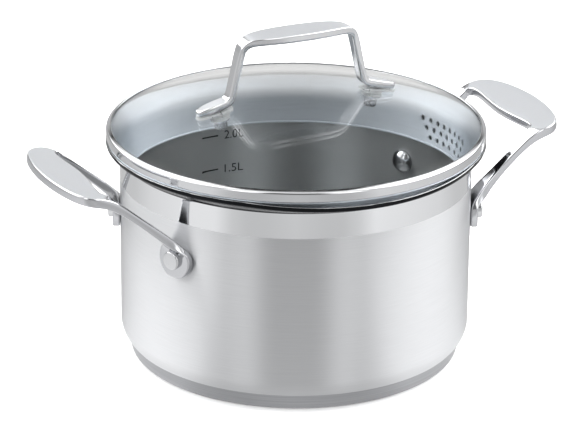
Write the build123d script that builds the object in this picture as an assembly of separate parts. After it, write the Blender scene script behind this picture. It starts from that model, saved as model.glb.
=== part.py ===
from build123d import *
from math import atan2, cos, degrees, radians, sin, sqrt
import os

# Two-handled stainless steel pot, 18 cm, with a glass strainer lid.
# Millimetres. Z is up, the origin is the centre of the base underside, the side handles lie on X
# and the two pouring lips lie on Y.

# ---- pot body -------------------------------------------------------------
WALL_R = 91.0            # outside radius of the straight wall
WALL_T = 1.0             # sheet thickness
BODY_Z = 4.3             # underside of the body, on top of the base disc
CORNER_R = 12.0          # outside radius of the bottom corner
FLARE_Z = 107.0          # where the wall starts to flare
RIM_R = 98.1             # outside radius of the pouring rim
RIM_Z = 115.1            # top of the rim
LIP_DROP = 2.2           # how far each pouring lip dips
LIP_HALF = 63.0          # half width of a pouring lip

# ---- encapsulated base ----------------------------------------------------
BASE_R = 85.4            # radius of the flat underside
SEAM_R = 87.67           # radius of the seam against the body
CAP_T = 0.7              # sheet thickness of the steel capsule

# ---- side handles and rivets ----------------------------------------------
RIVET_AZ = 24.5          # degrees from the handle axis to each rivet
RIVET_Z = 75.2           # height of the rivets
RIVET_SHANK = 2.5        # shank radius
PAD_R = 10.2             # radius of each riveting pad
PAD_T = 4.0              # pad thickness over the wall
PLATE_U = 118.0          # inner edge of the grip plate, from the pot axis
PLATE_Z = 113.2          # height of the plate top at that edge
PLATE_TILT = 9.03        # degrees, the plate rises outward
PLATE_T = 4.6            # plate thickness

# ---- lid ------------------------------------------------------------------
DOME_R = 290.0           # radius of the outer glass surface
DOME_C = -152.5          # height of its centre
GLASS_T = 4.0
GLASS_EDGE = 96.2
BAND_R = 97.9
SKIRT_R = 88.6           # outside radius of the strainer skirt
SKIRT_T = 0.6
SKIRT_Z = 90.1           # lower edge of the skirt
SCREW_X = 43.5           # screws of the lid handle, from the axis


def arc_z(r):
    """Height of the outside of the bottom corner at radius r."""
    return BODY_Z + CORNER_R - sqrt(CORNER_R ** 2 - (r - WALL_R + CORNER_R) ** 2)


def ring(points, arcs=()):
    """Solid of revolution from a closed outline in the XZ half plane."""
    edges = []
    n = len(points)
    mids = dict(arcs)
    for i in range(n):
        a, b = points[i], points[(i + 1) % n]
        if i in mids:
            edges.append(ThreePointArc((a[0], 0, a[1]), (mids[i][0], 0, mids[i][1]), (b[0], 0, b[1])))
        else:
            edges.append(Line((a[0], 0, a[1]), (b[0], 0, b[1])))
    face = Face(Wire(edges))
    return Solid.revolve(face, 360, Axis.Z)


def radial(az, r, z):
    """Plane on the wall facing outward, az in degrees from +X."""
    a = radians(az)
    return Plane(origin=(r * cos(a), r * sin(a), z), x_dir=(-sin(a), cos(a), 0), z_dir=(cos(a), sin(a), 0))


def bore(az, radius):
    """Radial cutter for one rivet hole."""
    return radial(az, 80.0, RIVET_Z) * Cylinder(radius, 24, align=(Align.CENTER, Align.CENTER, Align.MIN))


RIVETS = {"right_front": -RIVET_AZ, "right_rear": RIVET_AZ,
          "left_front": 180 + RIVET_AZ, "left_rear": 180 - RIVET_AZ}

# ---- pot body: one deep-drawn bowl with a flared rim ------------------------
ri = WALL_R - WALL_T
k = CORNER_R * sin(radians(45))
ki = (CORNER_R - WALL_T) * sin(radians(45))
cx = WALL_R - CORNER_R
cz = BODY_Z + CORNER_R
pot_body = ring(
    [(0, BODY_Z), (cx, BODY_Z), (WALL_R, cz), (WALL_R, FLARE_Z), (92.4, 109.2), (96.9, 112.3), (RIM_R, 113.6),
     (RIM_R, RIM_Z - 0.5), (RIM_R - 0.5, RIM_Z), (RIM_R - 1.0, RIM_Z - 0.5), (RIM_R - 1.0, 114.0), (96.3, 113.1),
     (91.7, 109.9), (ri, FLARE_Z + 0.3), (ri, cz), (cx, BODY_Z + WALL_T), (0, BODY_Z + WALL_T)],
    {1: (cx + k, cz - k), 3: (91.35, 108.25), 5: (97.78, 112.84), 7: (RIM_R - 0.15, RIM_Z - 0.15),
     8: (RIM_R - 0.85, RIM_Z - 0.15), 10: (96.88, 113.5), 12: (90.45, 108.7), 14: (cx + ki, cz - ki)})
lip_r = (LIP_HALF ** 2 + LIP_DROP ** 2) / (2 * LIP_DROP)
lip_cut = Pos(0, 0, RIM_Z - LIP_DROP + lip_r) * Rot(90, 0, 0) * Cylinder(lip_r, 260)
lip_cut = lip_cut & Pos(0, 0, RIM_Z + 10) * Box(2 * LIP_HALF, 260, 30)
pot_body = pot_body - lip_cut
for az in RIVETS.values():
    pot_body = pot_body - bore(az, RIVET_SHANK)

# ---- base: aluminium disc closed in by a steel capsule -----------------------
base_core = ring(
    [(0, CAP_T), (BASE_R - 1.2, CAP_T), (BASE_R - 0.3, 1.6), (86.7, arc_z(86.7)), (cx, BODY_Z), (0, BODY_Z)],
    {3: (83.2, arc_z(83.2))})
base_cap = ring(
    [(0, 0), (BASE_R - 1.2, 0), (BASE_R + 0.4, 1.5), (SEAM_R, arc_z(SEAM_R)), (86.7, arc_z(86.7)), (BASE_R - 0.3, 1.6),
     (BASE_R - 1.2, CAP_T), (0, CAP_T)],
    {1: (BASE_R - 0.05, 0.45), 3: (87.2, arc_z(87.2))})

# ---- side handles: grip plate, two arms and two riveting pads -----------------
tilt = radians(PLATE_TILT)
plate_plane = Plane(origin=(PLATE_U, 0, PLATE_Z), x_dir=(cos(tilt), 0, sin(tilt)), z_dir=(-sin(tilt), 0, cos(tilt)))
outer = [(1.0, -38.6), (5.5, -40.9), (11.2, -40.0), (15.8, -36.6), (19.0, -30.0), (21.0, -22.5), (22.8, -11.0),
         (23.4, 0), (22.8, 11.0), (21.0, 22.5), (19.0, 30.0), (15.8, 36.6), (11.2, 40.0), (5.5, 40.9), (1.0, 38.6)]
inner = [(0.6, 33.6), (2.6, 27.5), (1.7, 16.0), (0.2, 0), (1.7, -16.0), (2.6, -27.5), (0.6, -33.6)]
outline = Wire([Spline(*outer), Line(outer[-1], inner[0]), Spline(*inner), Line(inner[-1], outer[0])])
plate = extrude(plate_plane * Face(outline), amount=-PLATE_T)
plate = fillet(plate.edges().filter_by(lambda e: e.length > 60), 1.2)


def arm_section(u, w, z, width, thick, slope):
    """Rounded section of one arm, square to its run."""
    a = radians(slope)
    pl = Plane(origin=(u, w, z), x_dir=(0, 1, 0), z_dir=(cos(a), 0, sin(a)))
    return pl * RectangleRounded(width, thick, min(width, thick) * 0.36)


arm = loft([arm_section(87.0, 40.0, 79.6, 13.5, 5.0, 58),
            arm_section(90.4, 38.9, 85.0, 8.8, 5.0, 52),
            arm_section(96.0, 38.2, 91.3, 6.6, 4.6, 43),
            arm_section(105.0, 37.6, 99.2, 6.0, 4.3, 40),
            arm_section(113.5, 37.0, 106.2, 6.4, 4.3, 37),
            arm_section(121.5, 36.4, 111.2, 7.4, 4.2, 20)])
shell = Pos(0, 0, RIVET_Z) * (Cylinder(WALL_R + PAD_T, 40) - Cylinder(WALL_R, 40))
pad = shell & (radial(RIVET_AZ, 80.0, RIVET_Z) * Cylinder(PAD_R, 24, align=(Align.CENTER, Align.CENTER, Align.MIN)))
pad_out = radial(RIVET_AZ, WALL_R + PAD_T, RIVET_Z)
pad = fillet(pad.edges().sort_by(lambda e: (e.center() - pad_out.origin).length)[0], 1.0)
side = pad + arm
side = side - Cylinder(WALL_R, 300)
handle = plate + side + mirror(side, about=Plane.XZ)
for az in (RIVET_AZ, -RIVET_AZ):
    spot_face = radial(az, WALL_R + PAD_T, RIVET_Z) * Cylinder(5.1, 12, align=(Align.CENTER, Align.CENTER, Align.MIN))
    handle = handle - bore(az, RIVET_SHANK) - spot_face
side_handle_right = handle
side_handle_left = handle.rotate(Axis.Z, 180)

# ---- rivets: flat head outside, domed head inside -----------------------------
out_r = WALL_R + PAD_T
rivet_profile = Wire([
    Line((0, 85.9), (1.5, 86.05)), ThreePointArc((1.5, 86.05), (5.0, 87.4), (6.5, 89.4)), Line((6.5, 89.4), (6.5, 90.6)),
    Line((6.5, 90.6), (RIVET_SHANK, 90.6)), Line((RIVET_SHANK, 90.6), (RIVET_SHANK, out_r - 0.4)),
    Line((RIVET_SHANK, out_r - 0.4), (4.9, out_r - 0.4)), Line((4.9, out_r - 0.4), (4.9, out_r + 1.3)),
    ThreePointArc((4.9, out_r + 1.3), (4.6, out_r + 2.0), (3.9, out_r + 2.3)),
    Line((3.9, out_r + 2.3), (0, out_r + 2.4)), Line((0, out_r + 2.4), (0, 85.9))])
blank = Solid.revolve(Face(Plane.XZ * rivet_profile), 360, Axis.Z)


def rivet(az):
    """One rivet on the wall, trimmed to the curved wall and pad."""
    a = radians(az)
    seat = Plane(origin=(0, 0, RIVET_Z), x_dir=(-sin(a), cos(a), 0), z_dir=(cos(a), sin(a), 0))
    body = seat * blank
    tube = Pos(0, 0, RIVET_Z) * (Cylinder(out_r, 30) - Cylinder(WALL_R - WALL_T, 30))
    shank = radial(az, 88.0, RIVET_Z) * Cylinder(RIVET_SHANK, 10, align=(Align.CENTER, Align.CENTER, Align.MIN))
    return body - tube + shank


rivets = {name: rivet(az) for name, az in RIVETS.items()}


# ---- lid glass: a shallow dome with two screw holes ----------------------------
def dome_z(r, drop=0.0):
    """Height of the glass surface, or of the parallel surface that lies drop below it."""
    return DOME_C + sqrt((DOME_R - drop) ** 2 - r ** 2)


lid_glass = ring(
    [(0, dome_z(0)), (0, dome_z(0, GLASS_T)), (GLASS_EDGE, dome_z(GLASS_EDGE, GLASS_T)),
     (GLASS_EDGE, dome_z(GLASS_EDGE))],
    {1: (50, dome_z(50, GLASS_T)), 3: (50, dome_z(50))})


def screw_plane(side):
    """Plane on the outer glass at one screw, square to the glass."""
    t = atan2(SCREW_X, dome_z(SCREW_X) - DOME_C)
    return Plane(origin=(side * SCREW_X, 0, dome_z(SCREW_X)), x_dir=(0, 1, 0), z_dir=(side * sin(t), 0, cos(t)))


def pin(side, radius, low, high):
    """Cylinder on one screw axis between two heights over the glass."""
    return screw_plane(side) * Pos(0, 0, low) * Cylinder(radius, high - low,
                                                         align=(Align.CENTER, Align.CENTER, Align.MIN))


for side_x in (-1, 1):
    lid_glass = lid_glass - pin(side_x, 3.2, -GLASS_T - 1, 1)

# ---- lid rim band: pressed steel bead clamped round the glass edge --------------
lid_rim_band = ring(
    [(BAND_R, 117.0), (BAND_R, 120.1), (BAND_R - 1.3, 121.5), (95.4, 122.1), (95.4, dome_z(95.4) + 0.02),
     (GLASS_EDGE, dome_z(GLASS_EDGE) + 0.02), (BAND_R - 0.8, 119.9), (BAND_R - 0.8, 116.78), (94.8, 116.78),
     (94.8, 116.05), (BAND_R - 0.95, 116.05)],
    {1: (BAND_R - 0.35, 120.95), 10: (BAND_R - 0.28, 116.33)})

# ---- strainer skirt: flange, shoulder and a perforated wall ----------------------
si = SKIRT_R - SKIRT_T
strainer_skirt = ring(
    [(97.4, 116.05), (94.9, 116.05), (94.0, 115.6), (89.4, 111.6), (si, 108.6), (si, SKIRT_Z + 1.3),
     (si - 0.5, SKIRT_Z + 0.8), (si - 0.2, SKIRT_Z + 0.1), (SKIRT_R - 0.1, SKIRT_Z), (SKIRT_R + 0.1, SKIRT_Z + 0.6),
     (SKIRT_R, SKIRT_Z + 1.3), (SKIRT_R, 108.4), (89.9, 111.2), (94.3, 115.0), (95.2, 115.45), (97.4, 115.45)],
    {3: (88.35, 110.2), 11: (88.92, 109.95)})
SMALL = [(104.3, 8), (99.6, 7), (94.8, 6)]
LARGE = [(103.4, 5), (96.4, 4)]
for rows, pitch, radius, centre in ((SMALL, 4.1, 1.4, 0), (LARGE, 6.4, 2.5, 180)):
    for z, count in rows:
        for i in range(count):
            az = centre + (i - (count - 1) / 2) * pitch
            cutter = radial(az, 84.0, z) * Cylinder(radius, 8, align=(Align.CENTER, Align.CENTER, Align.MIN))
            strainer_skirt = strainer_skirt - cutter

# ---- lid handle: bent strip bridge, wider in the middle of the grip ---------------
half = [(0, 172.7), (15, 172.8), (27.6, 172.3), (31.6, 170.8), (33.6, 167.8), (38.9, 143.4), (41.2, 141.2),
        (54.8, 138.0), (56.5, 136.2), (55.8, 133.25), (44.3, 135.25), (36.6, 136.6), (35.0, 138.6), (34.9, 142.4),
        (30.1, 165.0), (27.2, 167.9), (15, 168.5), (0, 168.5)]
pts = [(x, 0, z) for x, z in half] + [(-x, 0, z) for x, z in half[-2:0:-1]]
side_view = extrude(Face(Wire.make_polygon([Vector(*p) for p in pts], close=True)), 10, both=True, dir=(0, 1, 0))
plan = [(0, 9.2), (10, 9.0), (19, 7.9), (26, 5.9), (32, 3.8), (38, 3.5), (45.5, 4.0), (52.6, 3.5), (56.6, 0)]
front = Spline(*[(-x, -y) for x, y in plan[::-1]] + [(x, -y) for x, y in plan[1:]])
back = Spline(*[(x, y) for x, y in plan[::-1]] + [(-x, y) for x, y in plan[1:]])
top_view = extrude(Pos(0, 0, 125) * Face(Wire([front, back])), 60)
lid_handle = side_view & top_view
for side_x in (-1, 1):
    lid_handle = lid_handle - pin(side_x, 2.0, 0, 4.2)

# ---- lid handle fixings: pads above the glass, seals, washers and screws below -----
pads, seals, washers, screws = {}, {}, {}, {}
for side_x, name in ((-1, "left"), (1, "right")):
    slab = extrude(Pos(side_x * 46.0, 0, 120) * SlotOverall(20.0, 8.2), 30)
    layer = Pos(0, 0, DOME_C) * (Sphere(DOME_R + 1.05) - Sphere(DOME_R))
    pads[name] = (slab & layer) - pin(side_x, 2.0, -2, 4) - lid_handle
    seals[name] = (pin(side_x, 5.2, -GLASS_T - 1.6, 0) & Pos(0, 0, DOME_C) * Sphere(DOME_R - GLASS_T)
                   ) + pin(side_x, 3.2, -GLASS_T - 0.5, 0) - pin(side_x, 2.0, -9, 2)
    seals[name] = seals[name] & Pos(0, 0, DOME_C) * Sphere(DOME_R)
    washers[name] = pin(side_x, 4.9, -GLASS_T - 2.4, -GLASS_T - 1.6) - pin(side_x, 2.0, -9, 2)
    head = pin(side_x, 3.3, -GLASS_T - 7.0, -GLASS_T - 2.4)
    head = fillet(head.edges().sort_by(Axis.Z)[0], 1.2)
    socket = screw_plane(side_x) * Pos(0, 0, -GLASS_T - 7.0) * extrude(RegularPolygon(1.6, 6), 2.0)
    screws[name] = head + pin(side_x, 2.0, -GLASS_T - 2.4, 4.0) - socket

# ---- files: one STEP for each part --------------------------------------------------
os.makedirs("parts", exist_ok=True)
parts = {"pot_body": pot_body, "base_core": base_core, "base_cap": base_cap,
         "side_handle_right": side_handle_right, "side_handle_left": side_handle_left,
         "lid_glass": lid_glass, "lid_rim_band": lid_rim_band, "strainer_skirt": strainer_skirt,
         "lid_handle": lid_handle}
parts.update({"rivet_" + name: shape for name, shape in rivets.items()})
for group, shapes in (("lid_pad_", pads), ("lid_seal_", seals), ("lid_washer_", washers), ("lid_screw_", screws)):
    parts.update({group + name: shape for name, shape in shapes.items()})
for name, shape in parts.items():
    solids = shape.solids()
    export_step(solids[0] if len(solids) == 1 else Compound(solids), os.path.join("parts", name + ".step"))
    box = shape.bounding_box()
    print(f"{name:20s} solids {len(solids)}  volume {shape.volume:10.1f}  x {box.min.X:7.1f} {box.max.X:7.1f}"
          f"  y {box.min.Y:7.1f} {box.max.Y:7.1f}  z {box.min.Z:7.1f} {box.max.Z:7.1f}")
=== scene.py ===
from math import atan2, cos, pi, radians, sin, sqrt

import bpy
from mathutils import Matrix, Vector


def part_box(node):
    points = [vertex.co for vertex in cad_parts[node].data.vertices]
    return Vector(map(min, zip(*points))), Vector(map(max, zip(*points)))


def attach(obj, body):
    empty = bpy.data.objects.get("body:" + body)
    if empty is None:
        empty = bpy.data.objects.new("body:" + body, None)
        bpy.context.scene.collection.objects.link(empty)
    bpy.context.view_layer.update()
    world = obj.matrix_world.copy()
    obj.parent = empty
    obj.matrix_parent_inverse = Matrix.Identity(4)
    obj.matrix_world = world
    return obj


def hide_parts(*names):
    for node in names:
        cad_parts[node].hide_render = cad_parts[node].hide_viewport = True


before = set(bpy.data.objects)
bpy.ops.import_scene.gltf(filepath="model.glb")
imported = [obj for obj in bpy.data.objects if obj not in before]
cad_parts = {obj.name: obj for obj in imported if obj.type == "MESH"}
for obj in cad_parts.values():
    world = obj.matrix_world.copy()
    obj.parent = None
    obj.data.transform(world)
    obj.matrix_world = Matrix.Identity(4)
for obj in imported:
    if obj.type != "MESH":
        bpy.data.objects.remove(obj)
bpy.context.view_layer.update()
bpy.ops.object.select_all(action="DESELECT")
MM = 0.001

# ---- camera ------------------------------------------------------------------
# A long lens that looks down on the pot at 22 degrees, from the front left of the handle axis.
LENS = 197.97
AIM = Vector((-1.80, 0.86, 72.6)) * MM
DISTANCE = 1668 * MM
AZIMUTH = radians(-25.6)
ELEVATION = radians(21.695)
ROLL = radians(0.56)

bpy.ops.object.camera_add()
camera = bpy.context.object
camera.name = "studio_camera"
camera.data.sensor_width = 36
camera.data.lens = LENS
camera.data.clip_start = 0.05
camera.data.clip_end = 50
away = Vector((sin(AZIMUTH) * cos(ELEVATION), -cos(AZIMUTH) * cos(ELEVATION), sin(ELEVATION)))
camera.location = AIM + away * DISTANCE
level = (-away).to_track_quat("-Z", "Y").to_matrix()
camera.rotation_euler = (level @ Matrix.Rotation(ROLL, 3, "Z")).to_euler()
bpy.context.scene.camera = camera
bpy.context.scene.view_settings.view_transform = "Standard"


# ---- studio ------------------------------------------------------------------
# A white tent with a table of white paper. Its lower walls are soft; above them are broad lights at both
# sides and an upright softbox on each side of the camera, with gaps behind the camera and opposite it.
OVERHEAD = 1.3


def linear(hex_colour):
    """An sRGB hex colour as linear RGBA."""
    parts = [int(hex_colour[i:i + 2], 16) / 255 for i in (1, 3, 5)]
    return [p / 12.92 if p <= 0.04045 else ((p + 0.055) / 1.055) ** 2.4 for p in parts] + [1.0]


def add_node(tree, kind, inputs=(), stops=(), blend="EASE", **settings):
    """A node with its settings; an input takes a value, or a socket to link from.

    stops are a colour ramp's places, each with a colour or with one number for a grey.
    """
    made = tree.nodes.new(kind)
    for name, value in settings.items():
        setattr(made, name, value)
    for socket, value in dict(inputs).items():
        if isinstance(value, bpy.types.NodeSocket):
            tree.links.new(value, made.inputs[socket])
        else:
            made.inputs[socket].default_value = value
    if stops:
        made.color_ramp.interpolation = blend
        while len(made.color_ramp.elements) < len(stops):
            made.color_ramp.elements.new(0.5)
        for element, (place, shade) in zip(made.color_ramp.elements, stops):
            element.position = place
            element.color = (shade, shade, shade, 1.0) if isinstance(shade, float) else shade
    return made


def tent_walls(tree, vector, stops):
    """Brightness of the tent in a direction from the pot, by the turn round the vertical.

    0 and 1 are straight behind the camera and 0.5 is the far wall. Also gives the direction's height.
    """
    mapping = {"Vector": vector, "Rotation": (0, 0, -AZIMUTH)}
    turned = add_node(tree, "ShaderNodeMapping", mapping).outputs["Vector"]
    parts = add_node(tree, "ShaderNodeSeparateXYZ", {"Vector": turned})
    x_and_y = {0: parts.outputs["X"], 1: parts.outputs["Y"]}
    turn = add_node(tree, "ShaderNodeMath", x_and_y, operation="ARCTAN2").outputs[0]
    turn = add_node(tree, "ShaderNodeMath", {0: turn, 1: 1 / (2 * pi)}, operation="MULTIPLY").outputs[0]
    turn = add_node(tree, "ShaderNodeMath", {0: turn, 1: 0.5}, operation="ADD").outputs[0]
    walls = add_node(tree, "ShaderNodeValToRGB", {"Fac": turn}, stops=stops, blend="LINEAR")
    return walls.outputs["Color"], parts.outputs["Z"]


TENT = [
    (0.0, 0.72), (0.047, 0.66), (0.073, 0.66), (0.099, 0.74), (0.127, 0.98), (0.156, 0.98), (0.187, 0.97),
    (0.221, 0.92), (0.261, 0.85), (0.311, 0.68), (0.398, 0.56), (0.44, 0.60), (0.47, 0.78), (0.53, 0.78),
    (0.56, 0.60), (0.602, 0.56), (0.689, 0.68), (0.739, 0.84), (0.779, 0.90), (0.813, 0.94), (0.844, 0.96),
    (0.873, 0.99), (0.901, 0.76), (0.927, 0.66), (0.953, 0.66), (1.0, 0.72)]
UPPER = [
    (0.0, 0.22), (0.055, 0.22), (0.085, 2.6), (0.11, 2.6), (0.13, 0.7), (0.16, 1.1), (0.20, 2.6),
    (0.25, 4.0), (0.32, 5.4), (0.40, 5.4), (0.44, 0.05), (0.56, 0.05), (0.60, 5.4), (0.68, 5.4),
    (0.75, 3.8), (0.80, 2.5), (0.84, 1.2), (0.87, 0.7), (0.89, 2.6), (0.915, 2.6), (0.945, 0.22),
    (1.0, 0.22)]
world = bpy.data.worlds.new("white_tent")
bpy.context.scene.world = world
world.use_nodes = True
tent = world.node_tree
tent.nodes.clear()
direction = add_node(tent, "ShaderNodeTexCoord").outputs["Generated"]
walls, height = tent_walls(tent, direction, TENT)
lights, _ = tent_walls(tent, direction, UPPER)
roof = add_node(tent, "ShaderNodeMapRange", {0: height, 1: 0.26, 2: 0.36, 3: 0.0, 4: 1.0}).outputs[0]
sides = add_node(tent, "ShaderNodeMix", {"Factor": roof, 6: walls, 7: lights}, data_type="RGBA").outputs[2]
top = add_node(tent, "ShaderNodeMapRange", {0: height, 1: 0.90, 2: 0.95, 3: 0.0, 4: 1.0}).outputs[0]
overhead = {"Factor": top, 6: sides, 7: (OVERHEAD, OVERHEAD, OVERHEAD, 1.0)}
whole = add_node(tent, "ShaderNodeMix", overhead, data_type="RGBA").outputs[2]
seen = add_node(tent, "ShaderNodeLightPath").outputs["Is Camera Ray"]
backdrop = {"Factor": seen, 6: whole, 7: (1.0, 1.0, 1.0, 1.0)}
backdrop = add_node(tent, "ShaderNodeMix", backdrop, data_type="RGBA").outputs[2]
light = add_node(tent, "ShaderNodeBackground", {"Color": backdrop, "Strength": 1.0})
add_node(tent, "ShaderNodeOutputWorld", {"Surface": light.outputs[0]})


def new_material(name):
    """An empty material: its tree, and its texture coordinates."""
    material = bpy.data.materials.new(name)
    material.use_nodes = True
    material.node_tree.nodes.clear()
    return material, material.node_tree, add_node(material.node_tree, "ShaderNodeTexCoord")


# The table is white paper. Metal that mirrors it sees a painted glow instead: painted shade like the tent wall
# above it, and painted light a little brighter near the pot.
paper, tree, place = new_material("white_paper")
shade, _ = tent_walls(tree, place.outputs["Object"], TENT)
glossy = add_node(tree, "ShaderNodeLightPath").outputs["Is Glossy Ray"]
white = add_node(tree, "ShaderNodeBsdfPrincipled", {"Base Color": linear("#ffffff"), "Roughness": 0.95})
reach = add_node(tree, "ShaderNodeVectorMath", {0: place.outputs["Object"]}, operation="LENGTH")
painted_light_near_pot = {0: reach.outputs["Value"], 1: 0.13, 2: 0.34, 3: 1.20, 4: 1.10}
painted_light_near_pot = add_node(tree, "ShaderNodeMapRange", painted_light_near_pot).outputs[0]
# Painted light: for glossy rays the table glows, shaded by the tent's turn and brighter near the pot.
painted_table_glow = add_node(tree, "ShaderNodeEmission", {"Color": shade, "Strength": painted_light_near_pot})
surface = {0: glossy, 1: white.outputs[0], 2: painted_table_glow.outputs[0]}
surface = add_node(tree, "ShaderNodeMixShader", surface)
add_node(tree, "ShaderNodeOutputMaterial", {"Surface": surface.outputs[0]})
bpy.ops.mesh.primitive_plane_add(size=8, location=(0, 0, -0.0002))
table = bpy.context.object
table.name = "table"
bpy.ops.object.transform_apply(location=True)
table.data.materials.append(paper)

# A broad lamp overhead lights the table; metal doesn't mirror it.
bpy.ops.object.light_add(type="AREA", location=(0, 0, 2.2))
lamp = bpy.context.object
lamp.name = "overhead_softbox"
lamp.data.size = 2.4
lamp.data.energy = 27
lamp.visible_glossy = False
lamp.visible_transmission = False

# ---- pot body ------------------------------------------------------------------
# A bowl drawn in one piece from 1 mm 18/10 stainless sheet. The rim is flared and rolled, and dips
# at the front and back into two pouring lips.
WALL_R = 91.0
WALL_T = 1.0
BODY_Z = 4.3
CORNER_R = 12.0
FLARE_Z = 107.0
LIP_Z = 112.3
RIM_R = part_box("pot_body")[1][0] / MM
RIM_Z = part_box("pot_body")[1][2] / MM
LIP_DROP = 2.2           # how far each pouring lip dips
LIP_HALF = 63.0          # half its length along X
POLISH_Z = 94.5          # lower edge of the polished band


def arc(start, through, end, steps):
    """Points of the circle through three profile points, without the first."""
    (ax, ay), (bx, by), (cx, cy) = start, through, end
    d = 2 * (ax * (by - cy) + bx * (cy - ay) + cx * (ay - by))
    a2, b2, c2 = ax * ax + ay * ay, bx * bx + by * by, cx * cx + cy * cy
    ux = (a2 * (by - cy) + b2 * (cy - ay) + c2 * (ay - by)) / d
    uy = (a2 * (cx - bx) + b2 * (ax - cx) + c2 * (bx - ax)) / d
    r = sqrt((ax - ux) ** 2 + (ay - uy) ** 2)
    t0, t1, t2 = (atan2(y - uy, x - ux) for x, y in (start, through, end))
    turn_through = (t1 - t0 + pi) % (2 * pi) - pi
    turn_end = (t2 - t0) % (2 * pi) if turn_through > 0 else -((t0 - t2) % (2 * pi))
    return [(ux + r * cos(t0 + turn_end * i / steps), uy + r * sin(t0 + turn_end * i / steps))
            for i in range(1, steps + 1)]


def outline(*parts):
    """A profile from points, and from (through, end, steps) triples for arcs."""
    points = []
    for part in parts:
        if len(part) == 3:
            points += arc(points[-1], *part)
        else:
            points.append(part)
    return points


def lathe(profile, steps=192, seat=Matrix(), shape=None):
    """Rings of a turned piece, in metres. seat puts its axis in place; shape moves a point (mm)."""
    rings = []
    for r, z in profile:
        ring = [Vector((r * cos(2 * pi * i / steps), r * sin(2 * pi * i / steps), z)) for i in range(steps)]
        rings.append([seat @ (shape(p) if shape else p) * MM for p in ring])
    return rings


def extruded(name, rings, closed=False):
    """A tube extruded from ring to ring. Its ends are filled, or joined to each other if closed."""
    bpy.ops.object.select_all(action="DESELECT")
    count = len(rings[0])
    bpy.ops.mesh.primitive_circle_add(vertices=count, radius=1, fill_type="NOTHING")
    piece = bpy.context.object
    piece.name = name
    piece.data.name = name
    for vertex, point in zip(piece.data.vertices, rings[0]):
        vertex.co = point
    for ring in rings[1:]:
        bpy.ops.object.mode_set(mode="EDIT")
        bpy.ops.mesh.extrude_edges_move()
        bpy.ops.object.mode_set(mode="OBJECT")
        for vertex, point in zip(piece.data.vertices[-count:], ring):
            vertex.co = point
    bpy.ops.object.mode_set(mode="EDIT")
    bpy.ops.mesh.select_all(action="SELECT")
    if closed:
        bpy.ops.mesh.remove_doubles(threshold=1e-6)
    else:
        bpy.ops.mesh.select_all(action="DESELECT")
        bpy.ops.mesh.select_non_manifold()
        bpy.ops.mesh.edge_face_add()
        bpy.ops.mesh.select_all(action="SELECT")
    bpy.ops.mesh.normals_make_consistent(inside=False)
    bpy.ops.object.mode_set(mode="OBJECT")
    return piece


def smooth(piece, angle=30):
    """Smooth shading that keeps edges sharper than an angle."""
    bpy.ops.object.select_all(action="DESELECT")
    piece.select_set(True)
    bpy.context.view_layer.objects.active = piece
    bpy.ops.object.shade_smooth_by_angle(angle=radians(angle))


def fit(piece, material, body, slot, *nodes):
    """Gives a piece its material and its body, and hides the CAD nodes that it stands for. slot is not used."""
    piece.data.materials.append(material)
    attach(piece, body)
    if nodes:
        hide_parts(*nodes)


def lip(p):
    """Bends the flare down at the two pouring lips."""
    share = max(0.0, 1 - (p.x / LIP_HALF) ** 2)
    rise = min(1.0, max(0.0, (p.z - FLARE_Z) / (LIP_Z - FLARE_Z)))
    return Vector((p.x, p.y, p.z - LIP_DROP * share * rise))


ri = WALL_R - WALL_T
cx = WALL_R - CORNER_R
cz = BODY_Z + CORNER_R
k = sin(radians(45))
inner_corner = (CORNER_R - WALL_T) * k
pot_profile = outline(
    (1.5, BODY_Z), (40, BODY_Z), (cx, BODY_Z), ((cx + CORNER_R * k, cz - CORNER_R * k), (WALL_R, cz), 12),
    (WALL_R, 55), (WALL_R, POLISH_Z), (WALL_R, FLARE_Z), ((91.35, 108.25), (92.4, 109.2), 6),
    (94.6, 110.75), (96.9, LIP_Z), ((97.78, 112.84), (RIM_R, 113.6), 5), (RIM_R, RIM_Z - 0.5),
    ((RIM_R - 0.5, RIM_Z), (RIM_R - 1, RIM_Z - 0.5), 6), (RIM_R - 1, 114.0), ((96.88, 113.5), (96.3, 113.1), 3),
    (94.0, 111.5), (91.7, 109.9), ((90.45, 108.7), (ri, 107.3), 5), (ri, 80), (ri, 45), (ri, cz),
    ((cx + inner_corner, cz - inner_corner), (cx, BODY_Z + WALL_T), 12),
    (40, BODY_Z + WALL_T), (1.5, BODY_Z + WALL_T))
pot = extruded("pot_shell", lathe(pot_profile, shape=lip))
smooth(pot)


# 18/10 stainless sheet, brushed round the pot with an abrasive belt and mirror polished above
# POLISH_Z. Grit lines 0.15 mm apart are too fine to show, so they are drawn 0.3 mm apart; they stretch
# each reflection up and down the wall. Outside, the flare and rim are painted near black: painted shade for the
# dark gap under the lid.
def around(tree, place):
    """Ring coordinates for brushing round the pot axis, and the direction round the axis."""
    split = add_node(tree, "ShaderNodeSeparateXYZ", {"Vector": place.outputs["Object"]})
    x, y, z = (split.outputs[i] for i in range(3))
    flat = add_node(tree, "ShaderNodeCombineXYZ", {0: x, 1: y, 2: 0.0}).outputs[0]
    radius = add_node(tree, "ShaderNodeVectorMath", {0: flat}, operation="LENGTH").outputs["Value"]
    height = add_node(tree, "ShaderNodeMath", {0: z, 1: radius}, operation="ADD").outputs[0]
    rings = add_node(tree, "ShaderNodeCombineXYZ", {0: x, 1: y, 2: height})
    back = add_node(tree, "ShaderNodeMath", {0: y, 1: -1.0}, operation="MULTIPLY").outputs[0]
    along = add_node(tree, "ShaderNodeCombineXYZ", {0: back, 1: x, 2: 0.0})
    tangent = add_node(tree, "ShaderNodeVectorMath", {0: along.outputs[0]}, operation="NORMALIZE")
    return rings.outputs[0], tangent.outputs[0], z


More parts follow.
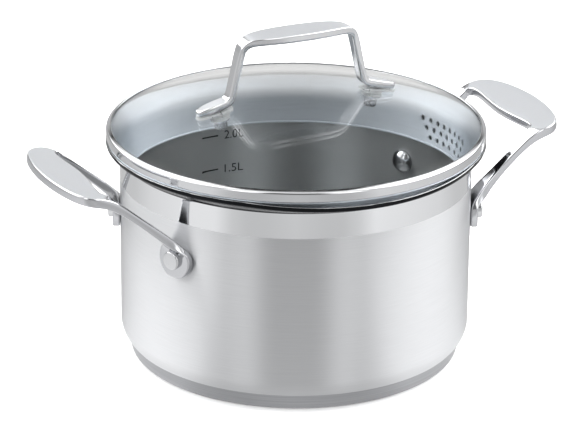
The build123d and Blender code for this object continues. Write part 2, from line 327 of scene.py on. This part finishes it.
def grain(tree, vector, stretch, spacing_mm):
    """Noise for grit lines: spacing_mm apart along Z, stretch times as long."""
    across = 1 / (spacing_mm * MM)
    scale = (across / stretch, across / stretch, across)
    scaled = add_node(tree, "ShaderNodeMapping", {"Vector": vector, "Scale": scale}).outputs[0]
    return add_node(tree, "ShaderNodeTexNoise", {"Vector": scaled, "Scale": 1.0, "Detail": 2.0}).outputs[0]


pot_steel, tree, place = new_material("brushed_18_10_sheet")
rings, tangent, z = around(tree, place)
lines = grain(tree, rings, 60, 0.3)

# Outside is where the surface faces away from the axis, or down.
out = {0: place.outputs["Object"], 1: (1.0, 1.0, 0.0)}
out = add_node(tree, "ShaderNodeVectorMath", out, operation="MULTIPLY").outputs[0]
out = add_node(tree, "ShaderNodeVectorMath", {0: out}, operation="NORMALIZE").outputs[0]
out = add_node(tree, "ShaderNodeVectorMath", {0: out, 1: (0.0, 0.0, 1.0)}, operation="SUBTRACT").outputs[0]
faces = {0: place.outputs["Normal"], 1: out}
faces = add_node(tree, "ShaderNodeVectorMath", faces, operation="DOT_PRODUCT").outputs["Value"]
inside = add_node(tree, "ShaderNodeMapRange", {0: faces, 1: -0.2, 2: 0.2, 3: 1.0, 4: 0.0}).outputs[0]
outside = add_node(tree, "ShaderNodeMath", {0: 1.0, 1: inside}, operation="SUBTRACT").outputs[0]
band_edge = {0: z, 1: (POLISH_Z - 0.25) * MM, 2: (POLISH_Z + 0.25) * MM, 3: 0.0, 4: 1.0}
polished = add_node(tree, "ShaderNodeMapRange", band_edge).outputs[0]
polished = add_node(tree, "ShaderNodeMath", {0: polished, 1: outside}, operation="MULTIPLY").outputs[0]
# Painted shade: outside faces of the flare and rim above FLARE_Z are painted near black, standing for the
# shadowed gap under the lid.
painted_rim_shade_edge = {0: z, 1: (FLARE_Z + 0.6) * MM, 2: (FLARE_Z + 1.0) * MM, 3: 0.0, 4: 1.0}
painted_rim_shade = add_node(tree, "ShaderNodeMapRange", painted_rim_shade_edge).outputs[0]
painted_rim_shade = add_node(tree, "ShaderNodeMath", {0: painted_rim_shade, 1: outside}, operation="MULTIPLY").outputs[0]

outer_rough = add_node(tree, "ShaderNodeMapRange", {0: lines, 1: 0.3, 2: 0.7, 3: 0.38, 4: 0.405}).outputs[0]
inner_rough = add_node(tree, "ShaderNodeMapRange", {0: lines, 1: 0.3, 2: 0.7, 3: 0.29, 4: 0.33}).outputs[0]
rough = {"Factor": inside, 2: outer_rough, 3: inner_rough}
rough = {"Factor": polished, 2: add_node(tree, "ShaderNodeMix", rough).outputs[0], 3: 0.09}
rough = add_node(tree, "ShaderNodeMix", rough).outputs[0]
shades = [(0.30, linear("#cfd0d2")), (0.70, linear("#d3d4d6"))]
tone = add_node(tree, "ShaderNodeValToRGB", {"Fac": lines}, stops=shades).outputs["Color"]
# The last tone here is the painted shade under the rim.
for where, shade in ((inside, "#afb1b2"), (polished, "#d8d9db"), (painted_rim_shade, "#1d1e20")):
    tone = {"Factor": where, 6: tone, 7: linear(shade)}
    tone = add_node(tree, "ShaderNodeMix", tone, data_type="RGBA").outputs[2]
even = add_node(tree, "ShaderNodeMath", {0: polished, 1: inside}, operation="MAXIMUM").outputs[0]
depth = add_node(tree, "ShaderNodeMath", {0: 0.03, 1: even}, operation="SUBTRACT", use_clamp=True).outputs[0]
bump = {"Strength": depth, "Distance": 0.00003, "Height": lines}
bump = add_node(tree, "ShaderNodeBump", bump).outputs[0]
shader = add_node(tree, "ShaderNodeBsdfPrincipled", {
    "Base Color": tone, "Metallic": 1.0, "Roughness": rough, "Anisotropic": 1.0,
    "Anisotropic Rotation": 0.25, "Tangent": tangent, "Normal": bump})
add_node(tree, "ShaderNodeOutputMaterial", {"Surface": shader.outputs[0]})
fit(pot, pot_steel, "pot", "brushed_steel", "pot_body")

# ---- capacity marks ------------------------------------------------------------
# Litre marks etched dark into the inner wall: a tick and a plain figure for each half litre.
MARK_STEP = 19.65        # height of half a litre in a 180 mm bore
MARK_TOP = 85.0
MARK_R = WALL_R - WALL_T - 0.03
MARK_DEPTH = 0.05
WORD_DEPTH = 0.004       # of the text before it is scaled
WORD_X = 0.2
WORD_WIDTH = 10.8
WORD_HEIGHT = 4.8
TICK_X = -8.6
TICK_LENGTH = 9.9
TICK_HEIGHT = 0.8


def on_wall(x, z):
    """A point on the rear inner wall, x mm to the right of its middle."""
    turn = x / MARK_R
    return Vector((MARK_R * sin(turn), MARK_R * cos(turn), z)) * MM


# A dark oxide skin, matt, made by electrolytic etching through a stencil.
etched, tree, place = new_material("etched_oxide_mark")
spots = {"Vector": place.outputs["Object"], "Scale": 900.0}
spots = add_node(tree, "ShaderNodeTexNoise", spots).outputs[0]
shades = [(0.3, linear("#060607")), (0.7, linear("#141414"))]
tone = add_node(tree, "ShaderNodeValToRGB", {"Fac": spots}, stops=shades).outputs["Color"]
shader = add_node(tree, "ShaderNodeBsdfPrincipled", {"Base Color": tone, "Roughness": 0.8})
add_node(tree, "ShaderNodeOutputMaterial", {"Surface": shader.outputs[0]})
for i, figure in enumerate(("2.0L", "1.5L", "1.0L", "0.5L")):
    level = MARK_TOP - i * MARK_STEP
    bpy.ops.object.select_all(action="DESELECT")
    bpy.ops.object.text_add()
    words = bpy.context.object
    words.data.body = figure
    words.data.size = 1.0
    words.data.extrude = WORD_DEPTH
    bpy.ops.object.convert(target="MESH")
    low = [min(v.co[a] for v in words.data.vertices) for a in range(2)]
    high = [max(v.co[a] for v in words.data.vertices) for a in range(2)]
    for v in words.data.vertices:
        x = WORD_X + WORD_WIDTH * (v.co.x - low[0]) / (high[0] - low[0])
        z = level - WORD_HEIGHT / 2 + WORD_HEIGHT * (v.co.y - low[1]) / (high[1] - low[1])
        spot = on_wall(x, z)
        inward = v.co.z * MARK_DEPTH / WORD_DEPTH / MARK_R
        v.co = spot * (1 - inward) + Vector((0, 0, spot.z * inward))
    words.name = f"mark_{figure.replace('.', '_')}"
    bpy.ops.mesh.primitive_cube_add(size=1)
    tick = bpy.context.object
    bpy.ops.object.mode_set(mode="EDIT")
    bpy.ops.mesh.subdivide(number_cuts=5)
    bpy.ops.object.mode_set(mode="OBJECT")
    for v in tick.data.vertices:
        spot = on_wall(TICK_X + TICK_LENGTH * v.co.x, level + TICK_HEIGHT * v.co.z)
        v.co = spot * (1 - MARK_DEPTH * v.co.y / MARK_R)
    words.select_set(True)
    bpy.context.view_layer.objects.active = words
    bpy.ops.object.join()
    bpy.ops.object.mode_set(mode="EDIT")
    bpy.ops.mesh.select_all(action="SELECT")
    bpy.ops.mesh.normals_make_consistent(inside=False)
    bpy.ops.object.mode_set(mode="OBJECT")
    fit(words, etched, "pot", "brushed_steel")

# ---- base --------------------------------------------------------------------
# An aluminium disc pressed under the bowl and closed in by a steel capsule. The capsule's edge is
# turned bright on a lathe and meets the bowl at a seam on the bottom corner.
BASE_R = 85.4
SEAM_R = 87.67
CAP_T = 0.7


def corner_z(r):
    """Height of the bowl's bottom corner at radius r."""
    return cz - sqrt(CORNER_R ** 2 - (r - cx) ** 2)


cap_profile = outline(
    (1.5, 0), (30, 0), (60, 0), (BASE_R - 1.2, 0), ((BASE_R - 0.05, 0.45), (BASE_R + 0.4, 1.5), 5), (86.6, 4.4),
    (87.55, 7.7), (SEAM_R, corner_z(SEAM_R)), (87.2, corner_z(87.2) - 0.05), (86.7, corner_z(86.7) - 0.1),
    (BASE_R - 0.3, 1.6), (BASE_R - 1.2, CAP_T), (30, CAP_T), (1.5, CAP_T))
base = extruded("base_capsule", lathe(cap_profile))
smooth(base)

# Stainless sheet, satin from fine turning. The turning lines are drawn 0.6 mm apart so that they show.
base_steel, tree, place = new_material("lathe_turned_stainless")
rings, tangent, _ = around(tree, place)
lines = grain(tree, rings, 80, 0.6)
shades = [(0.3, linear("#9fa0a3")), (0.7, linear("#adaeb1"))]
tone = add_node(tree, "ShaderNodeValToRGB", {"Fac": lines}, stops=shades).outputs["Color"]
rough = add_node(tree, "ShaderNodeMapRange", {0: lines, 1: 0.3, 2: 0.7, 3: 0.42, 4: 0.50}).outputs[0]
shader = add_node(tree, "ShaderNodeBsdfPrincipled", {
    "Base Color": tone, "Metallic": 1.0, "Roughness": rough, "Anisotropic": 0.4,
    "Anisotropic Rotation": 0.25, "Tangent": tangent})
add_node(tree, "ShaderNodeOutputMaterial", {"Surface": shader.outputs[0]})
fit(base, base_steel, "pot", "brushed_steel", "base_cap")

# Rolled aluminium sheet, dull grey; the capsule hides it.
core_metal, tree, place = new_material("rolled_aluminium")
lines = grain(tree, around(tree, place)[0], 20, 0.6)
rough = add_node(tree, "ShaderNodeMapRange", {0: lines, 1: 0.3, 2: 0.7, 3: 0.4, 4: 0.5}).outputs[0]
shader = {"Base Color": linear("#c3c5c7"), "Metallic": 1.0, "Roughness": rough}
shader = add_node(tree, "ShaderNodeBsdfPrincipled", shader)
add_node(tree, "ShaderNodeOutputMaterial", {"Surface": shader.outputs[0]})
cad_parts["base_core"].data.materials.clear()
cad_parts["base_core"].data.materials.append(core_metal)

# ---- side handles --------------------------------------------------------------
# Each is one stainless investment casting: a satin grip plate that runs on through two bent arms
# into two pads, which are riveted to the wall. The narrow sides are buffed bright.
PLATE_U = 118.0
PLATE_Z = 113.2
TILT = radians(9.03)
PLATE_UP = Vector((-sin(TILT), 0, cos(TILT)))
RIVET_AZ = radians(24.5)
RIVET_Z = 75.2
PAD_MID = WALL_R + 2.0
PLATE = [  # inner edge out and along, outer edge out and along, thickness
    (0.2, 0, 23.4, 0, 4.9), (1.0, 11, 22.8, 11.2, 4.9), (2.1, 20, 21.3, 21.0, 4.9),
    (2.6, 26.0, 19.7, 27.4, 4.9), (2.6, 29.4, 17.6, 33.2, 4.9), (2.1, 31.6, 14.6, 37.6, 5.0),
    (1.0, 33.0, 10.6, 40.3, 5.1), (-0.9, 33.7, 6.0, 40.9, 5.2)]
ARM = [  # out, along, up, width, thickness, slope
    (118.6, 37.2, 109.45, 6.9, 5.0, 30), (114.6, 37.1, 106.75, 6.4, 4.5, 38),
    (110.0, 37.3, 103.3, 6.2, 4.2, 40), (104.4, 37.6, 98.7, 6.0, 4.1, 40), (99.0, 37.9, 94.2, 6.3, 4.3, 40),
    (93.6, 38.3, 89.6, 7.2, 4.6, 42), (89.6, 38.6, 86.0, 9.0, 4.8, 47), (87.0, 38.75, 83.2, 12.0, 4.6, 57)]
PAD = [(4.6, 9.15), (0.0, 10.3), (-4.6, 9.2), (-8.0, 6.4), (-9.75, 3.2)]  # height over the rivet, half width


def strip_ring(centre, across, up, width, thick, edge, wrap=0.0):
    """Sixteen points round a flat bar. wrap is the radius that the bar bends round, or 0."""
    half, h = width / 2, thick / 2
    e = min(edge, half * 0.42, h * 0.8)
    corner = [(half * 0.3, h), (half - 2 * e, h), (half - 0.55 * e, h - 0.08 * e), (half, h - 0.8 * e)]
    corner += [(half, -h + 0.8 * e), (half - 0.55 * e, -h + 0.08 * e), (half - 2 * e, -h), (half * 0.3, -h)]
    points = corner + [(-s, t) for s, t in reversed(corner)]
    bend = (lambda s: s * s / (2 * wrap)) if wrap else (lambda s: 0.0)
    return [(centre + across * s + up * (t + bend(s))) * MM for s, t in points]


def grip(p, w, depth):
    """A point under the top of the grip plate: p out from its inner edge, w along it."""
    return Vector((PLATE_U + p * cos(TILT), w, PLATE_Z + p * sin(TILT))) - PLATE_UP * depth


def handle_stations():
    """Rings from the middle of the grip to the pad on the +Y side."""
    found = []
    for p_in, w_in, p_out, w_out, thick in PLATE:
        a, b = grip(p_in, w_in, thick / 2), grip(p_out, w_out, thick / 2)
        found.append(((a + b) / 2, (b - a).normalized(), PLATE_UP, (b - a).length, thick, 1.05, 0))
    for u, w, z, width, thick, slope in ARM:
        s = radians(slope)
        turn = RIVET_AZ * max(0.0, (slope - 42) / 48)
        across = Vector((-sin(turn), cos(turn), 0))
        up = Vector((-sin(s) * cos(turn), -sin(s) * sin(turn), cos(s)))
        found.append((Vector((u, w, z)), across, up, width, thick, 0.85, 0))
    out = Vector((cos(RIVET_AZ), sin(RIVET_AZ), 0))
    across = Vector((-sin(RIVET_AZ), cos(RIVET_AZ), 0))
    for dz, half in PAD:
        centre = out * (PAD_MID + 0.05) + Vector((0, 0, RIVET_Z + dz))
        found.append((centre, across, -out, half * 2, 3.9, 0.8, PAD_MID))
    return found


def mirrored(station):
    """The same ring on the other side of the XZ plane, kept in the same winding."""
    centre, across, up, width, thick, edge, wrap = station
    flip = Vector((1, -1, 1))
    return centre * flip, across * flip, up * flip, width, thick, edge, wrap


def finish_strip(piece, levels=2):
    """Rounds a coarse bar with a subdivision surface."""
    bpy.ops.object.select_all(action="DESELECT")
    piece.select_set(True)
    bpy.context.view_layer.objects.active = piece
    rounded = piece.modifiers.new("round", "SUBSURF")
    rounded.levels = levels
    rounded.render_levels = levels
    bpy.ops.object.modifier_apply(modifier=rounded.name)
    bpy.ops.object.shade_smooth()


# Investment-cast 18/8 stainless: faces that look up are satin from fine grit, the rest is buffed.
cast_steel, tree, place = new_material("satin_cast_stainless")
facing = add_node(tree, "ShaderNodeSeparateXYZ", {"Vector": place.outputs["Normal"]}).outputs["Z"]
flat_top = add_node(tree, "ShaderNodeMapRange", {0: facing, 1: 0.90, 2: 0.97, 3: 0.0, 4: 1.0}).outputs[0]
grit = {"Vector": place.outputs["Object"], "Scale": 1600.0, "Detail": 2.0}
grit = add_node(tree, "ShaderNodeTexNoise", grit).outputs[0]
satin = add_node(tree, "ShaderNodeMapRange", {0: grit, 1: 0.3, 2: 0.7, 3: 0.48, 4: 0.56}).outputs[0]
rough = add_node(tree, "ShaderNodeMix", {"Factor": flat_top, 2: 0.10, 3: satin}).outputs[0]
cast_tone = {"Factor": flat_top, 6: linear("#bfc0c3"), 7: linear("#cfd1d4")}
cast_tone = add_node(tree, "ShaderNodeMix", cast_tone, data_type="RGBA")
bump = {"Strength": 0.08, "Distance": 0.00004, "Height": grit}
bump = add_node(tree, "ShaderNodeBump", bump).outputs[0]
shader = add_node(tree, "ShaderNodeBsdfPrincipled", {
    "Base Color": cast_tone.outputs[2], "Metallic": 1.0, "Roughness": rough, "Normal": bump})
add_node(tree, "ShaderNodeOutputMaterial", {"Surface": shader.outputs[0]})

stations = handle_stations()
loop = [mirrored(s) for s in stations[:0:-1]] + stations


def handle_rings(turned):
    """The whole handle's rings, from pad to pad. turned puts it on the other side."""
    rings = [strip_ring(*station) for station in loop]
    return [[Vector((-p.x, -p.y, p.z)) for p in ring] for ring in rings] if turned else rings


for side, turned in (("right", False), ("left", True)):
    handle = extruded(f"side_handle_{side}_casting", handle_rings(turned))
    finish_strip(handle)
    fit(handle, cast_steel, "pot", "satin_steel", f"side_handle_{side}")


# ---- rivets ------------------------------------------------------------------
# Four solid stainless rivets. The shop head outside is turned flat with a rounded edge, and the
# inner end is upset into a dome.

# 18/10 stainless, polished bright, with a faint haze from handling. The lid's bead and washers share it.
rivet_steel, tree, place = new_material("polished_18_10_stainless")
haze = {"Vector": place.outputs["Object"], "Scale": 260.0, "Detail": 3.0}
haze = add_node(tree, "ShaderNodeTexNoise", haze).outputs[0]
rough = add_node(tree, "ShaderNodeMapRange", {0: haze, 1: 0.3, 2: 0.7, 3: 0.07, 4: 0.13}).outputs[0]
shader = {"Base Color": linear("#c9cacc"), "Metallic": 1.0, "Roughness": rough}
shader = add_node(tree, "ShaderNodeBsdfPrincipled", shader)
add_node(tree, "ShaderNodeOutputMaterial", {"Surface": shader.outputs[0]})
head = PAD_MID + 2
rivet_profile = outline(
    (0.3, 85.9), (1.5, 86.05), ((5.0, 87.4), (6.5, 89.4), 8), (6.5, 90.3), (2.5, 90.3), (2.5, head - 0.3),
    (4.9, head - 0.3), (4.9, head + 1.3), ((4.6, head + 2.0), (3.9, head + 2.3), 5), (2.0, head + 2.38),
    (0.3, head + 2.4))
for side, turn in (("right", 0.0), ("left", pi)):
    for end, sign in (("front", -1), ("rear", 1)):
        a = turn + sign * RIVET_AZ * (1 if side == "right" else -1)
        seat = Matrix(((-sin(a), 0, cos(a), 0), (cos(a), 0, sin(a), 0), (0, 1, 0, RIVET_Z), (0, 0, 0, 1)))
        rivet = extruded(f"rivet_{side}_{end}_turned", lathe(rivet_profile, 48, seat))
        smooth(rivet)
        fit(rivet, rivet_steel, "pot", "polished_steel", f"rivet_{side}_{end}")

# ---- lid glass -----------------------------------------------------------------
# A shallow dome of 4 mm soda-lime glass, sagged over a mould and tempered, with two drilled holes.
DOME_R = 290.0
DOME_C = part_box("lid_glass")[1][2] / MM - DOME_R
GLASS_T = 4.0
GLASS_EDGE = 96.2
SCREW_X = 43.5


def dome_z(r, drop=0.0):
    """Height of the glass at radius r, or of the surface drop below it."""
    return DOME_C + sqrt((DOME_R - drop) ** 2 - r ** 2)


def along_screw(side, low, high, radius, name, vertices=32):
    """A cylinder on one screw's axis, between two distances over the glass."""
    t = side * atan2(SCREW_X, dome_z(SCREW_X) - DOME_C)
    reach = DOME_R + (low + high) / 2
    bpy.ops.mesh.primitive_cylinder_add(
        vertices=vertices, radius=radius * MM, depth=(high - low) * MM,
        location=(reach * sin(t) * MM, 0, (DOME_C + reach * cos(t)) * MM), rotation=(0, t, 0))
    made = bpy.context.object
    made.name = name
    bpy.ops.object.transform_apply(location=True, rotation=True)
    return made


def cut(piece, cutter):
    """Cuts one mesh out of another and removes the cutter."""
    bpy.ops.object.select_all(action="DESELECT")
    bpy.context.view_layer.objects.active = piece
    piece.select_set(True)
    hole = piece.modifiers.new("hole", "BOOLEAN")
    hole.operation = "DIFFERENCE"
    hole.solver = "EXACT"
    hole.object = cutter
    bpy.ops.object.modifier_apply(modifier=hole.name)
    bpy.data.objects.remove(cutter)


steps = [1.5] + [8 * i for i in range(1, 12)] + [92, 95, GLASS_EDGE - 0.5]
glass_profile = [(r, dome_z(r)) for r in steps] + [(GLASS_EDGE, dome_z(GLASS_EDGE) - 0.5)]
glass_profile += [(GLASS_EDGE, dome_z(GLASS_EDGE, GLASS_T) + 0.5)]
glass_profile += [(r, dome_z(r, GLASS_T)) for r in steps[::-1]]
glass = extruded("lid_dome", lathe(glass_profile))
for side in (-1, 1):
    cut(glass, along_screw(side, -GLASS_T - 2, 2, 3.2, "drill"))
smooth(glass, 40)

# Tempered soda-lime glass, fire-polished, almost colourless. It lets light through to what lies under it.
clear, tree, place = new_material("soda_lime_glass")
body = add_node(tree, "ShaderNodeBsdfPrincipled", {
    "Base Color": linear("#fbfcfc"), "Roughness": 0.0, "IOR": 1.5, "Transmission Weight": 1.0})
through = add_node(tree, "ShaderNodeBsdfTransparent", {"Color": linear("#f2f4f4")})
rays = add_node(tree, "ShaderNodeLightPath").outputs["Is Shadow Ray"]
surface = add_node(tree, "ShaderNodeMixShader", {0: rays, 1: body.outputs[0], 2: through.outputs[0]})
add_node(tree, "ShaderNodeOutputMaterial", {"Surface": surface.outputs[0]})
fit(glass, clear, "lid", "clear_glass", "lid_glass")

# ---- lid rim band --------------------------------------------------------------
# A stainless strip rolled into a bead, pressed round the edge of the glass and polished.
BAND_R = 97.9
band_profile = outline(
    (BAND_R, 117.0), (BAND_R, 118.5), (BAND_R, 120.1), ((BAND_R - 0.35, 120.95), (BAND_R - 1.3, 121.5), 5),
    (95.75, 121.95), ((95.42, 121.98), (95.2, 121.8), 3), (95.3, dome_z(95.3) + 0.05),
    (GLASS_EDGE, dome_z(GLASS_EDGE) + 0.05), (BAND_R - 0.8, 119.9), (BAND_R - 0.8, 116.78), (94.8, 116.78),
    (94.8, 116.05), (BAND_R - 0.95, 116.05), ((BAND_R - 0.28, 116.33), (BAND_R, 117.0), 5))
band = extruded("lid_bead", lathe(band_profile), closed=True)
smooth(band)
fit(band, rivet_steel, "lid", "polished_steel", "lid_rim_band")

# ---- strainer skirt ------------------------------------------------------------
# A ring drawn from 0.6 mm stainless sheet: a flange under the bead, a sloping shoulder and a wall
# that hangs inside the rim. Small drain holes are punched on one side and large ones opposite.
SKIRT_R = 88.6
SKIRT_T = 0.6
SKIRT_Z = 90.1
SMALL = ((104.3, 8), (99.6, 7), (94.8, 6))      # height of each row and its number of holes
LARGE = ((103.4, 5), (96.4, 4))
si = SKIRT_R - SKIRT_T
skirt_profile = outline(
    (97.4, 116.03), (94.9, 116.03), (94.0, 115.6), (91.6, 113.5), (89.4, 111.6),
    ((88.35, 110.2), (si, 108.6), 5), (si, 98), (si, SKIRT_Z + 1.3), (si - 0.5, SKIRT_Z + 0.8),
    (si - 0.2, SKIRT_Z + 0.1),
    (SKIRT_R - 0.1, SKIRT_Z), (SKIRT_R + 0.1, SKIRT_Z + 0.6), (SKIRT_R, SKIRT_Z + 1.3), (SKIRT_R, 98),
    (SKIRT_R, 108.4), ((88.92, 109.95), (89.9, 111.2), 5), (92.0, 113.0), (94.3, 115.0), (95.2, 115.45),
    (97.4, 115.45), (97.4, 116.03))
skirt = extruded("strainer_ring", lathe(skirt_profile), closed=True)
punches = []
for rows, pitch, size, centre in ((SMALL, 4.1, 1.4, 0.0), (LARGE, 6.4, 2.5, 180.0)):
    for z, count in rows:
        for i in range(count):
            a = radians(centre + (i - (count - 1) / 2) * pitch)
            spot = Vector((SKIRT_R * cos(a), SKIRT_R * sin(a), z)) * MM
            bpy.ops.mesh.primitive_cylinder_add(
                vertices=24, radius=size * MM, depth=6 * MM, location=spot, rotation=(0, pi / 2, a))
            punches.append(bpy.context.object)
bpy.ops.object.select_all(action="DESELECT")
for punch in punches:
    punch.select_set(True)
bpy.context.view_layer.objects.active = punches[0]
bpy.ops.object.join()
bpy.ops.object.transform_apply(location=True, rotation=True)
cut(skirt, punches[0])
smooth(skirt)

# 18/10 strip, tumbled after punching to take off the burrs: matt, with soft lines round the ring.
skirt_steel, tree, place = new_material("tumbled_18_10_strip")
rings, tangent, _ = around(tree, place)
lines = grain(tree, rings, 40, 0.5)
shades = [(0.3, linear("#dfe6ee")), (0.7, linear("#e6edf4"))]
tone = add_node(tree, "ShaderNodeValToRGB", {"Fac": lines}, stops=shades).outputs["Color"]
rough = add_node(tree, "ShaderNodeMapRange", {0: lines, 1: 0.3, 2: 0.7, 3: 0.58, 4: 0.64}).outputs[0]
shader = add_node(tree, "ShaderNodeBsdfPrincipled", {
    "Base Color": tone, "Metallic": 1.0, "Roughness": rough, "Anisotropic": 1.0,
    "Anisotropic Rotation": 0.25, "Tangent": tangent})
add_node(tree, "ShaderNodeOutputMaterial", {"Surface": shader.outputs[0]})
fit(skirt, skirt_steel, "lid", "brushed_steel", "strainer_skirt")

# ---- lid handle ----------------------------------------------------------------
# A bridge bent from one forged stainless bar: a broad grip, two slim legs and two short feet that
# lie on the glass. The top of the grip is satin and the rest is buffed bright.
BRIDGE = [  # x, z, angle of the top face from level, width, thickness
    (0.0, 170.65, 0, 18.4, 4.1), (10.0, 170.65, 0, 17.8, 4.1), (19.0, 170.6, 1, 15.4, 4.1),
    (24.5, 170.35, 5, 12.4, 4.0), (28.4, 169.65, 18, 9.8, 3.9), (31.1, 167.4, 50, 8.0, 3.9),
    (32.2, 164.4, 74, 7.3, 3.8), (34.6, 153.6, 78, 7.0, 3.8), (36.6, 144.4, 77, 6.9, 3.8),
    (37.5, 141.4, 62, 7.0, 4.0), (39.2, 139.4, 38, 7.2, 4.2), (42.0, 138.4, 18, 7.6, 4.3),
    (46.2, 137.3, 14, 8.0, 4.3), (51.2, 136.0, 14, 7.5, 4.1), (54.6, 135.15, 15, 5.7, 3.6),
    (56.0, 134.8, 15, 3.8, 2.8)]


def bridge_rings():
    """Rings of the bar from the left foot to the right foot."""
    right = []
    for x, z, angle, width, thick in BRIDGE:
        t = radians(angle)
        right.append((Vector((x, 0, z)), Vector((0, 1, 0)), Vector((sin(t), 0, cos(t))), width, thick, 0.75))
    flip = Vector((-1, 1, 1))
    left = [(centre * flip, across, up * flip, *sizes) for centre, across, up, *sizes in right[:0:-1]]
    return [strip_ring(*station) for station in left + right]


bridge = extruded("lid_bridge_handle", bridge_rings())
finish_strip(bridge)
for side in (-1, 1):
    cut(bridge, along_screw(side, -1, 3.9, 2.0, "tap", 24))
smooth(bridge, 40)

# Forged 18/8 stainless, finished like the castings but buffed brighter.
forged_steel = cast_steel.copy()
forged_steel.name = "satin_forged_stainless"
forged_steel.node_tree.nodes[cast_tone.name].inputs[6].default_value = linear("#cbccce")
fit(bridge, forged_steel, "lid", "polished_steel", "lid_handle")

# ---- lid handle fixings ----------------------------------------------------------
# Under each foot lies a clear silicone pad. A stainless screw comes up through the glass in a
# silicone sleeve, with a steel washer under its head.

# Moulded silicone rubber, milky and half clear, with a satin skin.
silicone, tree, place = new_material("clear_silicone_rubber")
cloud = {"Vector": place.outputs["Object"], "Scale": 400.0}
cloud = add_node(tree, "ShaderNodeTexNoise", cloud).outputs[0]
rough = add_node(tree, "ShaderNodeMapRange", {0: cloud, 1: 0.3, 2: 0.7, 3: 0.25, 4: 0.4}).outputs[0]
shader = add_node(tree, "ShaderNodeBsdfPrincipled", {
    "Base Color": linear("#e4e7e8"), "Roughness": rough, "IOR": 1.41, "Transmission Weight": 0.5})
add_node(tree, "ShaderNodeOutputMaterial", {"Surface": shader.outputs[0]})

# A2 stainless, machined and passivated: a little darker and duller than the polished steel.
screw_steel, tree, place = new_material("machined_a2_stainless")
haze = {"Vector": place.outputs["Object"], "Scale": 900.0, "Detail": 2.0}
haze = add_node(tree, "ShaderNodeTexNoise", haze).outputs[0]
rough = add_node(tree, "ShaderNodeMapRange", {0: haze, 1: 0.3, 2: 0.7, 3: 0.18, 4: 0.30}).outputs[0]
shader = {"Base Color": linear("#b4b6b9"), "Metallic": 1.0, "Roughness": rough}
shader = add_node(tree, "ShaderNodeBsdfPrincipled", shader)
add_node(tree, "ShaderNodeOutputMaterial", {"Surface": shader.outputs[0]})

fixings = (
    ("lid_pad", silicone), ("lid_seal", silicone), ("lid_washer", rivet_steel), ("lid_screw", screw_steel))
for name, material in fixings:
    for side in ("left", "right"):
        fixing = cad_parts[f"{name}_{side}"]
        fixing.data.materials.clear()
        fixing.data.materials.append(material)
